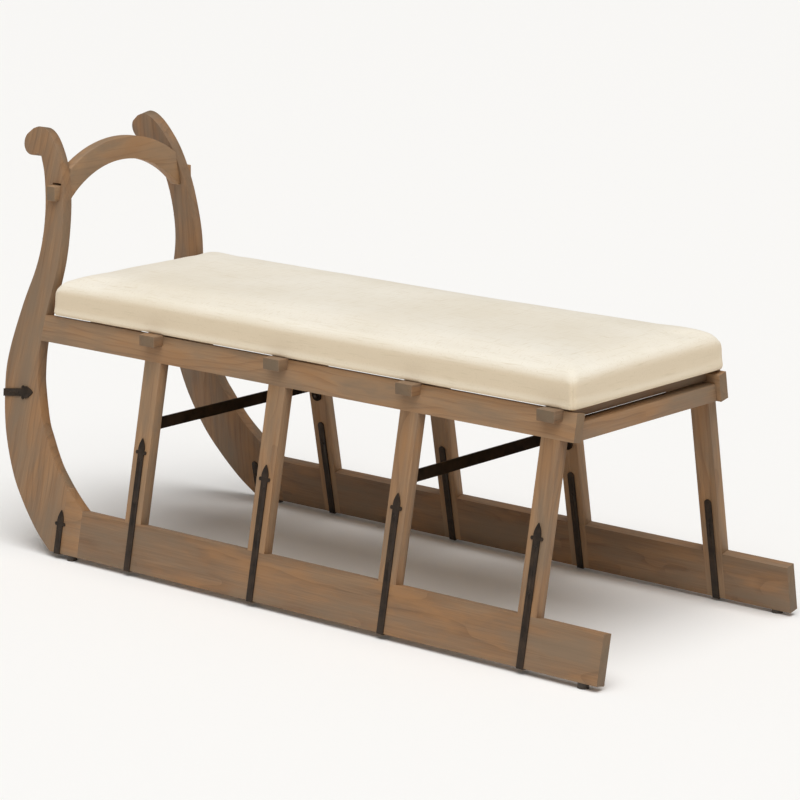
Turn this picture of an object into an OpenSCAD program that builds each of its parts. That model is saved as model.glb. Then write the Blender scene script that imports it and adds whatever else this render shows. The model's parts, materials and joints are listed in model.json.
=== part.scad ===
// Sleigh-shaped bench: two leaning side frames with scrolled horns, joined by
// cross battens, end rails, iron bars and an arched rail, under a long cushion.
// Millimetres. +X points to the tail, the horns are at -X, +Z is up.
// Left is -Y and right is +Y for someone who sits facing the horns.
// The origin is on the floor, in the middle of the length and of the width.

/* [Side frames] */
// Inward lean of both side frames, in degrees
lean = 11; // [6:0.5:16]
// Width over the lower outer edges of the two runners
foot_spread = 608; // [500:1:740]
// Thickness of the runners, legs, side rails and horns
plank_t = 22; // [18:0.5:28]
// Height of a runner along the leaning plane
runner_h = 89; // [70:1:110]
// Visible length of a leg between its runner and its side rail
leg_l = 302; // [240:1:370]
// Height of a side rail along the leaning plane
rail_h = 50; // [42:1:62]
// Width of a leg
leg_w = 40; // [32:1:50]
// Distance from one leg to the next
leg_pitch = 307; // [245:1:370]
// Runner length past the middle of the last leg
tail_overhang = 160; // [110:1:200]
// Side rail length past the middle of the last leg
rail_overhang = 48; // [40:1:60]

/* [Joints in the wood] */
// Depth of the leg tenons inside the side rails
leg_tenon_l = 20; // [14:1:22]
// Width of the leg tenons
leg_tenon_w = 24; // [18:1:28]
// Thickness of every hidden tenon
tenon_t = 8; // [6:0.5:10]
// Clearance around a piece that sits in a slot or a mortise
fit = 0.2; // [0.1:0.05:0.4]
// Diameter of the long dowels through the foot blocks
dowel_d = 10; // [8:0.5:12]
// How far each foot dowel enters the horn and the runner
dowel_bite = 25; // [18:1:32]

/* [Horns] */
// From the middle of the first leg to the foot block
foot_gap = 131; // [118:1:150]
// Length of the foot block glued between runner and horn
foot_block_l = 47; // [38:1:56]
// Radius of the curl at the top of a horn
curl_r = 24; // [20:0.5:26]
// Height of the curl's centre above the top of the side rail
curl_rise = 321; // [290:1:350]

/* [Arch between the horns] */
// Height of the arch's crown above the top edge of the side rails
arch_rise = 318; // [290:1:330]
// How far the arch's upper edge falls from its crown to the horns
arch_outer_drop = 46; // [38:1:54]
// How far the arch's lower edge falls from its crown to the horns
arch_inner_drop = 76; // [70:1:84]
// Middle of the arch's through tenons above the top edge of the side rails
arch_tenon_up = 232; // [222:1:242]
// From the middle of the first leg to the middle of the arch
arch_gap = 303; // [298:1:309]
// Depth of the arch at its crown
arch_depth = 44; // [38:1:52]
// Thickness of the arch along the bench
arch_t = 22; // [18:1:26]
// Height of the through tenons at the ends of the arch
arch_tenon_h = 28; // [22:1:32]
// How far the through tenons stand out of the horns
arch_tenon_out = 13; // [6:1:18]

/* [Seat supports] */
// Width of a cross batten along the bench
batten_w = 38; // [32:1:46]
// Thickness of a cross batten
batten_t = 21; // [17:1:24]
// How far a batten stands above the outer top edge of a side rail
batten_proud = 3; // [2:0.5:5]
// How far the batten ends stand out past the side rails
batten_out = 26; // [14:1:34]
// Height of the end rails
end_rail_h = 32; // [26:1:34]
// Thickness of the end rails
end_rail_t = 30; // [22:1:34]
// Setback of the tail rail from the ends of the side rails
end_rail_inset = 9; // [5:1:14]
// From the middle of the first leg to the middle of the head rail
head_rail_gap = 240; // [200:1:255]
// Depth of the end rail tenons in the side rails
end_tenon_l = 10; // [7:1:13]

/* [Cushion] */
// From the middle of the first leg to the head end of the cushion
cushion_head_gap = 273; // [240:1:274]
// How far the cushion stands out past the outer top edges of the side rails
cushion_overhang = 8; // [0:1:14]
// Height of the cushion's sides, up to the end of their round edge
cushion_side_h = 69; // [58:1:80]
// Height of the cushion at the middle of its crown
cushion_crown_h = 76; // [72:1:95]
// How far the cushion stops short of the tail ends of the side rails
cushion_inset = 1; // [0:1:20]
// Corner radius of the cushion seen from above
cushion_corner_r = 12; // [8:1:20]
// Radius of the cushion's upper edges
cushion_edge_r = 28; // [16:1:30]
// Thickness of the foam slab under the wadding
foam_t = 28; // [20:1:32]
// How far the foam stays inside the cushion's outline
foam_inset = 10; // [9:1:14]
// Thickness of the plywood seat board
board_t = 12; // [9:0.5:15]
// How far the seat board stays inside the cushion's outline
board_inset = 8; // [5:1:14]

/* [Iron straps and bars] */
// Width of the iron straps
strap_w = 14.5; // [11:0.5:18]
// Thickness of the iron straps
strap_t = 2; // [1.5:0.25:3]
// Length of a leg strap's outer arm, up to the tip of its spear
strap_outer_l = 248; // [200:1:280]
// Length of a leg strap's inner arm
strap_inner_l = 194; // [150:1:230]
// Length of the spear with its two lobes
spear_l = 30; // [24:1:36]
// Width over the two lobes below a spear
lobe_w = 26; // [20:1:30]
// Outer arm of the foot straps
foot_strap_outer_l = 82; // [70:1:95]
// Inner arm of the foot straps
foot_strap_inner_l = 76; // [60:1:90]
// From the glued joint of the horn to the middle of the left foot strap
foot_strap_lead = 6; // [3:1:9]
// How much farther forward the right foot strap sits
foot_strap_shift = 12; // [0:1:16]
// Length of a horn strap on the outer face of the horn
horn_strap_l = 76; // [60:1:84]
// Length of a horn strap on the inner face
horn_strap_inner_l = 46; // [36:1:60]
// Height of the horn straps up the back edge of the horn
horn_strap_up = 280; // [240:1:310]
// Height of the iron cross bars
bar_h = 22; // [18:1:28]
// Thickness of the iron cross bars and of their end plates
bar_t = 4; // [3:0.5:6]
// Height of the bars' upper edge above the underside of the runners
bar_top = 276; // [240:1:300]
// Height of the end plates on the bars
plate_h = 46; // [40:1:56]
// Width of the end plates on the bars
plate_w = 22; // [16:1:26]

/* [Small hardware] */
// Diameter of the wood screws
screw_d = 4; // [3:0.5:5]
// Diameter of the screw heads
screw_head_d = 8; // [7:0.5:10]
// Radial clearance of a screw, nail or dowel in its hole
bore_gap = 0.1; // [0.05:0.05:0.2]
// Shank diameter of the strap nails
nail_d = 2.5; // [2:0.25:3]
// Head diameter of the strap nails
nail_head_d = 6; // [5:0.5:8]
// Height of the glide under the lower inner edge of the runner
glide_h = 7; // [5:0.5:12]
// Diameter of the glides
glide_d = 20; // [16:1:24]
// Setback of the tail glides from the end of the runner
glide_inset = 35; // [25:1:50]
// Height of the studs above the top edge of the side rails
stud_rise = 142; // [130:1:160]

/* [Hidden] */

LEGS = 4;
WOOD = "#94724f";
WOOD_DARK = "#7f6142";
IRON = "#2b2420";
LINEN = "#e6dac0";
FOAM = "#efe6b8";
PLY = "#c9a877";
GLIDE = "#3a3026";

// Heights along the leaning plane, from the lower outer edge of a runner
rail_low = runner_h + leg_l;
rail_top = rail_low + rail_h;
half_t = plank_t / 2;
low_z = glide_h + plank_t * sin(lean);

// Stations along the bench, from the middle of the first leg
foot_near = -foot_gap;
foot_far = -foot_gap - foot_block_l;
curl_x = -379;
last_leg = (LEGS - 1) * leg_pitch;
tail_x = last_leg + tail_overhang;
rail_tail_x = last_leg + rail_overhang;
first_leg_x = -(tail_x + curl_x - curl_r) / 2;

function plane_z(w, v) = low_z + w * cos(lean) - v * sin(lean);
function plane_y(w, v) = foot_spread / 2 - w * sin(lean) - v * cos(lean);
// Height along the plane of a level z, at depth v
function level_w(z, v) = (z - low_z + v * sin(lean)) / cos(lean);
function leg_x(n) = (n - 1) * leg_pitch;
// Height along the legs, from 0 at the runner to 1 at the side rail
function up_leg(f) = runner_h + f * leg_l;

// Smooth curve through points, with a few steps between each two
function blend(a, b, c, d, t) =
  (2 * b + (c - a) * t + (2 * a - 5 * b + 4 * c - d) * t * t
    + (3 * b - a - 3 * c + d) * t * t * t) / 2;
function smooth(p, steps) = [
  for (i = [0 : len(p) - 2], j = [0 : steps - 1])
    blend(p[max(i - 1, 0)], p[i], p[i + 1], p[min(i + 2, len(p) - 1)], j / steps),
  p[len(p) - 1]
];

// Side outline of a horn and its foot, as [station, height along the plane]
BACK = [
  [-204, 0], [-246, 33], [-291, 82], [-327, 134], [-360, up_leg(0.41)],
  [-376, up_leg(0.7)], [-374, up_leg(0.91)], [-353, rail_top + 14],
  [-331, rail_top + 84], [-323, rail_top + 139], [-325, rail_top + 199],
  [-338, rail_top + 261], [-353, rail_top + 297]
];
FRONT = [
  [-383, rail_top + 348], [-367, rail_top + 353], [-351, rail_top + 350],
  [-335, rail_top + 339], [-319, rail_top + 320], [-302, rail_top + 292],
  [-289, rail_top + 257], [-279, rail_top + 213], [-274, rail_top + 165],
  [-273, rail_top + 118], [-277, rail_top + 74], [-291, rail_top - 11],
  [-295, up_leg(0.96)], [-292, up_leg(0.81)], [-286, up_leg(0.71)],
  [-266, up_leg(0.51)], [-249, up_leg(0.41)], [-219, up_leg(0.26)],
  [-188, runner_h + 46], [-157, runner_h + 19], [foot_near, runner_h]
];
CURVE_STEPS = 5;
BACK_CURVE = smooth(BACK, CURVE_STEPS);
CURL = [
  for (a = [-50 : -12 : -225])
    [curl_x + curl_r * cos(a), rail_top + curl_rise + curl_r * sin(a)]
];
HORN_OUTLINE = concat(BACK_CURVE, CURL, smooth(FRONT, CURVE_STEPS), [[foot_near, 0]]);
function back_x(w) = lookup(w, [for (p = BACK_CURVE) [p.y, p.x]]);
horn_strap_turn = atan((back_x(horn_strap_up - strap_w / 2) - back_x(horn_strap_up + strap_w / 2)) / strap_w);

// Levels of what crosses the bench
batten_top_z = plane_z(rail_top, 0) + batten_proud;
batten_low_z = batten_top_z - batten_t;
batten_half = plane_y(rail_top, 0) + batten_out;
end_rail_z = plane_z(rail_low, plank_t);
tail_rail_x = rail_tail_x - end_rail_inset - end_rail_t / 2;
head_rail_x = -head_rail_gap;
end_tenon_shoulder = 6;
end_tenon_h = end_rail_h - 2 * end_tenon_shoulder;

// Arch: two circles through its crown and its ends on the horns
function arc_r(span, drop) = (span * span + drop * drop) / (2 * drop);
function horn_gap(z) = plane_y(level_w(z, plank_t), plank_t);
arch_x = -arch_gap;
arch_top_z = plane_z(rail_top, 0) + arch_rise;
arch_low_z = arch_top_z - arch_depth;
arch_outer_r = arc_r(horn_gap(arch_top_z - arch_outer_drop), arch_outer_drop);
arch_inner_r = arc_r(horn_gap(arch_low_z - arch_inner_drop), arch_inner_drop);
arch_tenon_w = rail_top + arch_tenon_up;
arch_tenon_z = plane_z(arch_tenon_w, 0);
arch_shoulder_h = 8;
arch_foot = arch_tenon_h / 2 + arch_shoulder_h;
mortise_gap = 4.5;

// Cushion
cushion_l = cushion_head_gap + rail_tail_x - cushion_inset;
cushion_w = 2 * (plane_y(rail_top, 0) + cushion_overhang);
cushion_x = rail_tail_x - cushion_inset - cushion_l / 2;
inner_corner_r = 6;
crown_run = 110;
// Layers of the pad as [inset, height]: the upright side, the round edge, the crown
PAD_LAYERS = concat(
  [[0, 0]],
  [for (a = [0 : 22.5 : 90])
    [cushion_edge_r * (1 - cos(a)), cushion_side_h - cushion_edge_r * (1 - sin(a))]],
  [for (t = [1 : 3])
    [cushion_edge_r + crown_run * t / 3,
      cushion_side_h + (cushion_crown_h - cushion_side_h) * sin(30 * t)]]
);
lobe_r = 3.5;

// Hardware
tenon_near = (plank_t - tenon_t) / 2;
rail_joint = 40;
rail_tenon_wall = 5;
rail_tenon_shoulder = 11;
rail_tenon_h = rail_h - 2 * rail_tenon_shoulder;
bar_top_w = level_w(low_z + bar_top, plank_t + bar_t);
bar_screw_w = bar_top_w - plate_h + plate_w / 2;
bar_screw_l = 14;
nail_l = 10;
nail_head_h = 1.2;
OUTER_NAILS = [runner_h + 40, runner_h + 118];
INNER_NAILS = [runner_h + 60];
FOOT_NAIL = runner_h / 2;
HORN_NAILS = [14, 34];
batten_screw_bite = 9;
batten_screw_l = batten_t + batten_screw_bite;
batten_screw_y = plane_y(level_w(batten_low_z, half_t), half_t);
board_screw_y = 120;
board_screw_cover = 4;
board_screw_l = batten_t + board_t - board_screw_cover;
head_t = 2.5;
stud_w = rail_top + stud_rise;
stud_d = 3;
stud_l = 15;
glide_v = half_t;
glide_nail_l = 14;
glide_head_x = foot_near - foot_block_l / 2;
glide_tail_x = tail_x - glide_inset;
big = 2000;

// ---- Placing ----

// Moves a piece drawn at bench stations to the centred frame
module along() {
  translate([first_leg_x, 0, 0]) children();
}

// Left or right side: the right one mirrors the left one
module side(name) {
  along() mirror([0, name == "right" ? 1 : 0, 0]) children();
}

// Frame of the left leaning plane: x along, y up the plane, z outwards
module plane() {
  translate([0, -foot_spread / 2, low_z]) rotate([90 - lean, 0, 0]) children();
}

// Extrudes a side outline from v0 to v1, measured inwards from the outer face
module slab(v0, v1) {
  plane() translate([0, 0, -v1]) linear_extrude(v1 - v0) children();
}

// Straight bore or pin into the leaning plane, at station x and height w
module plane_pin(x, w, v0, v1, d) {
  plane() translate([x, w, -v1]) cylinder(h = v1 - v0, d = d, $fn = 24);
}

module rect(x0, x1, w0, w1) {
  translate([x0, w0]) square([x1 - x0, w1 - w0]);
}

// ---- Side frames ----

module horn_and_foot_2d() {
  polygon(HORN_OUTLINE);
}

module rail_tenon_2d(gap) {
  low = rail_low + rail_tenon_shoulder;
  rect(back_x(rail_low) + rail_joint + rail_tenon_wall - gap, head_rail_x,
    low - gap, low + rail_tenon_h + gap);
}

// Two long dowels that run through the foot block into runner and horn
module foot_dowel_pair(gap) {
  for (w = [runner_h * 0.3, runner_h * 0.7])
    plane() translate([foot_far - dowel_bite - gap, w, -half_t]) rotate([0, 90, 0])
      cylinder(h = foot_block_l + 2 * dowel_bite + 2 * gap, d = dowel_d + 2 * gap, $fn = 32);
}

module end_rail_tenons(x, gap) {
  reach = plane_y(rail_low, plank_t) + end_tenon_l + gap;
  translate([x - tenon_t / 2 - gap, -reach, end_rail_z + end_tenon_shoulder - gap])
    cube([tenon_t + 2 * gap, 2 * reach, end_tenon_h + 2 * gap]);
}

module batten_box(n, gap) {
  translate([leg_x(n) - batten_w / 2 - gap, -batten_half, batten_low_z])
    cube([batten_w + 2 * gap, 2 * batten_half, batten_t + 2 * gap]);
}

// Vertical screws through the batten ends into the side rails
module batten_screw_pair(n, gap) {
  for (s = [-1, 1])
    translate([leg_x(n), s * batten_screw_y, batten_top_z]) {
      translate([0, 0, -batten_screw_l - gap])
        cylinder(h = batten_screw_l, d = screw_d + 2 * gap, $fn = 20);
      translate([0, 0, -head_t - gap])
        cylinder(h = head_t + gap, d = screw_head_d + 2 * gap, $fn = 24);
    }
}

// Screws up through a batten into the seat board
module board_screw_pair(n, gap) {
  for (s = [-1, 1])
    translate([leg_x(n), s * board_screw_y, batten_low_z]) {
      cylinder(h = board_screw_l + gap, d = screw_d + 2 * gap, $fn = 20);
      cylinder(h = head_t + gap, d = screw_head_d + 2 * gap, $fn = 24);
    }
}

module glide_place(end) {
  x = end == "head" ? glide_head_x : glide_tail_x;
  translate([x, -plane_y(0, glide_v), 0]) children();
}

module glide_nail(end, gap) {
  glide_place(end)
    cylinder(h = low_z + glide_nail_l + gap, d = nail_d + 2 * gap, $fn = 20);
}

module strap_nail_holes(x, outer, inner, gap) {
  for (w = outer) plane_pin(x, w, -strap_t - 1, nail_l + gap, nail_d + 2 * gap);
  for (w = inner) plane_pin(x, w, plank_t - nail_l - gap, plank_t + strap_t + 1, nail_d + 2 * gap);
}

module runner(name) {
  color(WOOD) side(name) difference() {
    slab(0, plank_t) rect(foot_near, tail_x, 0, runner_h);
    for (n = [1 : LEGS])
      slab(half_t, plank_t + 1)
        rect(leg_x(n) - leg_w / 2 - fit, leg_x(n) + leg_w / 2 + fit, -1, runner_h + 1);
    foot_dowel_pair(bore_gap);
    glide_nail("tail", bore_gap);
  }
}

module foot_block(name) {
  color(WOOD) side(name) difference() {
    slab(0, plank_t) intersection() {
      horn_and_foot_2d();
      rect(foot_far, foot_near, -1, rail_low);
    }
    foot_dowel_pair(bore_gap);
    glide_nail("head", bore_gap);
  }
}

module horn(name) {
  color(WOOD) side(name) difference() {
    slab(0, plank_t) intersection() {
      horn_and_foot_2d();
      rect(-big, foot_far, -1, big);
    }
    slab(tenon_near - fit, tenon_near + tenon_t + fit) rail_tenon_2d(fit);
    foot_dowel_pair(bore_gap);
    arch_mortise();
    foot_strap_nails(name, bore_gap);
    horn_strap_nails(bore_gap);
    stud_shank(bore_gap);
  }
}

module side_rail(name) {
  color(WOOD) side(name) difference() {
    union() {
      slab(0, plank_t) difference() {
        rect(back_x(rail_low), rail_tail_x, rail_low, rail_top);
        horn_and_foot_2d();
        rect(-big, back_x(rail_low) + rail_joint, 0, big);
      }
      slab(tenon_near, tenon_near + tenon_t) rail_tenon_2d(0);
    }
    for (n = [1 : LEGS]) {
      slab(tenon_near - fit, tenon_near + tenon_t + fit)
        rect(leg_x(n) - leg_tenon_w / 2 - fit, leg_x(n) + leg_tenon_w / 2 + fit,
          rail_low - 1, rail_low + leg_tenon_l + fit);
      batten_box(n, fit);
      batten_screw_pair(n, bore_gap);
    }
    end_rail_tenons(tail_rail_x, fit);
    end_rail_tenons(head_rail_x, fit);
  }
}

// The outer half of the foot stops on the runner, the inner half is let into it
module leg(name, n) {
  color(WOOD) side(name) difference() {
    union() {
      slab(0, plank_t) rect(leg_x(n) - leg_w / 2, leg_x(n) + leg_w / 2, runner_h, rail_low);
      slab(half_t, plank_t) rect(leg_x(n) - leg_w / 2, leg_x(n) + leg_w / 2, 0, rail_low);
      slab(tenon_near, tenon_near + tenon_t)
        rect(leg_x(n) - leg_tenon_w / 2, leg_x(n) + leg_tenon_w / 2,
          runner_h, rail_low + leg_tenon_l);
    }
    strap_nail_holes(leg_x(n), OUTER_NAILS, INNER_NAILS, bore_gap);
    if (n == 1 || n == 3) bar_screw(n, bore_gap);
  }
}

module foot_dowels() {
  color(PLY) for (s = ["left", "right"]) side(s) foot_dowel_pair(0);
}

// ---- What joins the two sides ----

// Region between the inner faces of the two side frames
module between_sides(extra) {
  intersection() {
    children();
    intersection_for (s = [0, 1])
      mirror([0, s, 0]) slab(plank_t - extra, big) rect(-big, big, -big, big);
  }
}

module arch_tenon(h, out, thick) {
  reach = plane_y(arch_tenon_w, 0) + out;
  translate([arch_x - thick / 2, -reach, arch_tenon_z - arch_tenon_h / 2])
    cube([thick, 2 * reach, h]);
}

// Mortise with daylight above the tenon
module arch_mortise() {
  translate([0, 0, -fit]) arch_tenon(arch_tenon_h + mortise_gap, big / 10, arch_t + 2 * fit);
}

module arch_rail() {
  color(WOOD) along() difference() {
    union() {
      between_sides(0) translate([arch_x - arch_t / 2, 0, 0]) rotate([90, 0, 90])
        linear_extrude(arch_t) difference() {
          translate([0, arch_top_z - arch_outer_r]) circle(r = arch_outer_r, $fn = 160);
          translate([0, arch_low_z - arch_inner_r]) circle(r = arch_inner_r, $fn = 160);
          translate([-big / 2, -big + arch_tenon_z - arch_foot]) square([big, big]);
        }
      arch_tenon(arch_tenon_h, arch_tenon_out, arch_t);
    }
    // The tenons exist only outside the arch's own curve
    translate([arch_x - arch_t, 0, 0]) rotate([90, 0, 90]) linear_extrude(2 * arch_t)
      translate([0, arch_low_z - arch_inner_r]) circle(r = arch_inner_r, $fn = 160);
  }
}

module cross_batten(n) {
  color(WOOD_DARK) along() difference() {
    batten_box(n, 0);
    batten_screw_pair(n, bore_gap);
    board_screw_pair(n, bore_gap);
  }
}

module end_rail(x) {
  color(WOOD) along() {
    between_sides(0) translate([x - end_rail_t / 2, -big / 2, end_rail_z])
      cube([end_rail_t, big, end_rail_h]);
    end_rail_tenons(x, 0);
  }
}

module tail_rail() { end_rail(tail_rail_x); }

module head_rail() { end_rail(head_rail_x); }

// ---- Seat ----

// Outline of the pad, set in on all sides, with round corners
function pad_ring(inset, z) = [
  for (q = [0 : 3], a = [0 : 15 : 90])
    let (sx = (q == 0 || q == 3) ? 1 : -1, sy = q < 2 ? 1 : -1, turn = a + 90 * q)
      [sx * (cushion_l / 2 - cushion_corner_r - inset) + cushion_corner_r * cos(turn),
        sy * (cushion_w / 2 - cushion_corner_r - inset) + cushion_corner_r * sin(turn), z]
];

// Crowned pad with rounded upper edges, as a stack of outlines
module pad() {
  rings = [for (layer = PAD_LAYERS) pad_ring(layer[0], layer[1])];
  n = len(rings[0]);
  levels = len(rings);
  points = [for (ring = rings, p = ring) p];
  walls = [
    for (k = [0 : levels - 2], i = [0 : n - 1])
      let (j = (i + 1) % n) [k * n + i, (k + 1) * n + i, (k + 1) * n + j, k * n + j]
  ];
  low = [for (i = [0 : n - 1]) i];
  top = [for (i = [n - 1 : -1 : 0]) (levels - 1) * n + i];
  translate([cushion_x, 0, batten_top_z])
    polyhedron(points = points, faces = concat([low], walls, [top]));
}

// Flat slab with small round corners, inset from the cushion's outline
module seat_slab(inset, z0, t) {
  half_l = cushion_l / 2 - inset;
  half_w = cushion_w / 2 - inset;
  translate([cushion_x, 0, batten_top_z + z0]) linear_extrude(t) difference() {
    translate([-half_l, -half_w]) square([2 * half_l, 2 * half_w]);
    for (sx = [0, 1], sy = [0, 1]) mirror([sx, 0]) mirror([0, sy])
      translate([half_l - inner_corner_r, half_w - inner_corner_r]) difference() {
        square(inner_corner_r + 1);
        circle(r = inner_corner_r, $fn = 32);
      }
  }
}

module seat_board() {
  color(PLY) along() difference() {
    seat_slab(board_inset, 0, board_t);
    for (n = [1 : LEGS]) board_screw_pair(n, bore_gap);
  }
}

module seat_foam() {
  color(FOAM) along() seat_slab(foam_inset, board_t, foam_t);
}

// Linen cover with its wadding, open below for the foam and the board
module cushion_cover() {
  color(LINEN) along() difference() {
    pad();
    seat_slab(foam_inset, board_t, foam_t);
    seat_slab(board_inset, -1, board_t + 2);
  }
}

// ---- Iron ----

// One edge of a spear's leaf, from its foot to its tip
function leaf(head_w) = smooth([
  [strap_w / 2 - 1, 5], [head_w / 2, 10], [head_w * 0.42, spear_l * 0.57],
  [head_w * 0.22, spear_l * 0.82], [0, spear_l]
], 4);

// Flat arm with a spear and two lobes at its end, drawn up from y0
module spear_2d(y0, length, head_w) {
  neck = length - spear_l;
  edge = leaf(head_w);
  translate([-strap_w / 2, y0]) square([strap_w, neck - y0 + lobe_r]);
  translate([0, neck]) {
    for (s = [-1, 1]) translate([s * (lobe_w / 2 - lobe_r), lobe_r]) circle(r = lobe_r, $fn = 20);
    translate([-lobe_w / 2 + lobe_r, 1]) square([lobe_w - 2 * lobe_r, 2 * lobe_r - 2]);
    polygon(concat(edge, [for (i = [len(edge) - 2 : -1 : 0]) [-edge[i].x, edge[i].y]]));
  }
}

// Flat arm with a plain round end
module round_2d(y0, length) {
  translate([-strap_w / 2, y0]) square([strap_w, length - strap_w / 2 - y0]);
  translate([0, length - strap_w / 2]) circle(d = strap_w, $fn = 32);
}

module u_strap(x, outer, inner) {
  slab(-strap_t, 0) translate([x, 0]) spear_2d(-strap_t, outer, strap_w + 1);
  slab(plank_t, plank_t + strap_t) translate([x, 0]) round_2d(-strap_t, inner);
  slab(-strap_t, plank_t + strap_t) rect(x - strap_w / 2, x + strap_w / 2, -strap_t, 0);
}

module leg_strap(name, n) {
  color(IRON) side(name) difference() {
    u_strap(leg_x(n), strap_outer_l, strap_inner_l);
    strap_nail_holes(leg_x(n), OUTER_NAILS, INNER_NAILS, bore_gap);
  }
}

function foot_strap_x(name) = foot_far - foot_strap_lead - (name == "right" ? foot_strap_shift : 0);

module foot_strap_nails(name, gap) {
  strap_nail_holes(foot_strap_x(name), [FOOT_NAIL], [FOOT_NAIL], gap);
}

module foot_strap(name) {
  color(IRON) side(name) difference() {
    u_strap(foot_strap_x(name), foot_strap_outer_l, foot_strap_inner_l);
    foot_strap_nails(name, bore_gap);
  }
}

// Frame of the strap that wraps the back edge of a horn: y runs forward
module horn_strap_frame() {
  translate([back_x(horn_strap_up), horn_strap_up])
    rotate(horn_strap_turn - 90) children();
}

module horn_strap_nails(gap) {
  for (a = HORN_NAILS) plane() horn_strap_frame() translate([0, a, -nail_l - gap])
    cylinder(h = nail_l + gap + strap_t + 1, d = nail_d + 2 * gap, $fn = 20);
}

module horn_strap(name) {
  color(IRON) side(name) difference() {
    union() {
      slab(-strap_t, 0) horn_strap_frame() spear_2d(-strap_t - fit, horn_strap_l, lobe_w - 3);
      slab(plank_t, plank_t + strap_t) horn_strap_frame()
        round_2d(-strap_t - fit, horn_strap_inner_l);
      slab(-strap_t, plank_t + strap_t) horn_strap_frame()
        translate([-strap_w / 2, -strap_t - fit]) square([strap_w, strap_t]);
    }
    horn_strap_nails(bore_gap);
  }
}

// Flat bar on edge between a pair of legs, with a plate at each end
module cross_bar(n) {
  color(IRON) along() difference() {
    union() {
      between_sides(-bar_t / 2) translate([leg_x(n) - bar_t / 2, -big / 2, low_z + bar_top - bar_h])
        cube([bar_t, big, bar_h]);
      for (s = [0, 1]) mirror([0, s, 0]) slab(plank_t, plank_t + bar_t)
        translate([leg_x(n), bar_screw_w]) {
          translate([-plate_w / 2, 0]) square([plate_w, plate_h - plate_w / 2]);
          circle(d = plate_w, $fn = 32);
        }
    }
    for (s = [0, 1]) mirror([0, s, 0]) bar_screw(n, bore_gap);
  }
}

module bar_screw(n, gap) {
  plane_pin(leg_x(n), bar_screw_w, plank_t - bar_screw_l - gap, plank_t + bar_t + 1,
    screw_d + 2 * gap);
}

module bar_screws() {
  color(IRON) for (s = ["left", "right"], n = [1, 3]) side(s) {
    plane_pin(leg_x(n), bar_screw_w, plank_t - bar_screw_l, plank_t + bar_t, screw_d);
    plane() translate([leg_x(n), bar_screw_w, -plank_t - bar_t - head_t])
      cylinder(h = head_t, d = screw_head_d, $fn = 6);
  }
}

// Nail with a low round head on the face of a strap
module strap_nail(outside) {
  turn = outside ? 0 : 180;
  rotate([turn, 0, 0]) {
    translate([0, 0, -nail_l]) cylinder(h = nail_l + strap_t, d = nail_d, $fn = 20);
    translate([0, 0, strap_t]) cylinder(h = nail_head_h, d1 = nail_head_d, d2 = nail_head_d / 2, $fn = 20);
  }
}

module strap_nails() {
  color(IRON) for (s = ["left", "right"]) side(s) {
    for (n = [1 : LEGS]) plane() {
      for (w = OUTER_NAILS) translate([leg_x(n), w, 0]) strap_nail(true);
      for (w = INNER_NAILS) translate([leg_x(n), w, -plank_t]) strap_nail(false);
    }
    plane() {
      translate([foot_strap_x(s), FOOT_NAIL, 0]) strap_nail(true);
      translate([foot_strap_x(s), FOOT_NAIL, -plank_t]) strap_nail(false);
      horn_strap_frame() for (a = HORN_NAILS) translate([0, a, 0]) strap_nail(true);
    }
  }
}

module stud_frame() {
  plane() translate([back_x(stud_w) - fit, stud_w, -half_t]) rotate([0, -90, 0]) children();
}

module stud_shank(gap) {
  stud_frame() translate([0, 0, -stud_l - gap])
    cylinder(h = stud_l + gap + 10, d = stud_d + 2 * gap, $fn = 20);
}

module horn_studs() {
  color(IRON) for (s = ["left", "right"]) side(s) stud_frame() rotate_extrude($fn = 32)
    polygon([
      [0, -stud_l], [stud_d / 2, -stud_l], [stud_d / 2, 0], [3.6, 0], [3.6, 2], [2.4, 5], [3.2, 7], [0, 12]
    ]);
}

module batten_screws() {
  color(IRON) along() for (n = [1 : LEGS]) batten_screw_pair(n, 0);
}

module board_screws() {
  color(IRON) along() for (n = [1 : LEGS]) board_screw_pair(n, 0);
}

// Nail-on glide: a disc cut to the slope of the runner, with its nail
module glide(name, end) {
  color(GLIDE) side(name) {
    difference() {
      glide_place(end) cylinder(h = low_z, d = glide_d, $fn = 48);
      slab(-plank_t, 2 * plank_t) rect(-big, big, 0, big / 10);
    }
    glide_nail(end, 0);
  }
}

runner("left");  // runner_left
runner("right");  // runner_right
foot_block("left");  // foot_block_left
foot_block("right");  // foot_block_right
horn("left");  // horn_left
horn("right");  // horn_right
side_rail("left");  // side_rail_left
side_rail("right");  // side_rail_right
leg("left", 1);  // leg_left_1
leg("left", 2);  // leg_left_2
leg("left", 3);  // leg_left_3
leg("left", 4);  // leg_left_4
leg("right", 1);  // leg_right_1
leg("right", 2);  // leg_right_2
leg("right", 3);  // leg_right_3
leg("right", 4);  // leg_right_4
foot_dowels();
arch_rail();
cross_batten(1);  // cross_batten_1
cross_batten(2);  // cross_batten_2
cross_batten(3);  // cross_batten_3
cross_batten(4);  // cross_batten_4
tail_rail();
head_rail();
seat_board();
seat_foam();
cushion_cover();
leg_strap("left", 1);  // leg_strap_left_1
leg_strap("left", 2);  // leg_strap_left_2
leg_strap("left", 3);  // leg_strap_left_3
leg_strap("left", 4);  // leg_strap_left_4
leg_strap("right", 1);  // leg_strap_right_1
leg_strap("right", 2);  // leg_strap_right_2
leg_strap("right", 3);  // leg_strap_right_3
leg_strap("right", 4);  // leg_strap_right_4
foot_strap("left");  // foot_strap_left
foot_strap("right");  // foot_strap_right
horn_strap("left");  // horn_strap_left
horn_strap("right");  // horn_strap_right
cross_bar(1);  // cross_bar_1
cross_bar(3);  // cross_bar_3
bar_screws();
strap_nails();
horn_studs();
batten_screws();
board_screws();
glide("left", "head");  // glide_left_head
glide("left", "tail");  // glide_left_tail
glide("right", "head");  // glide_right_head
glide("right", "tail");  // glide_right_tail
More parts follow.
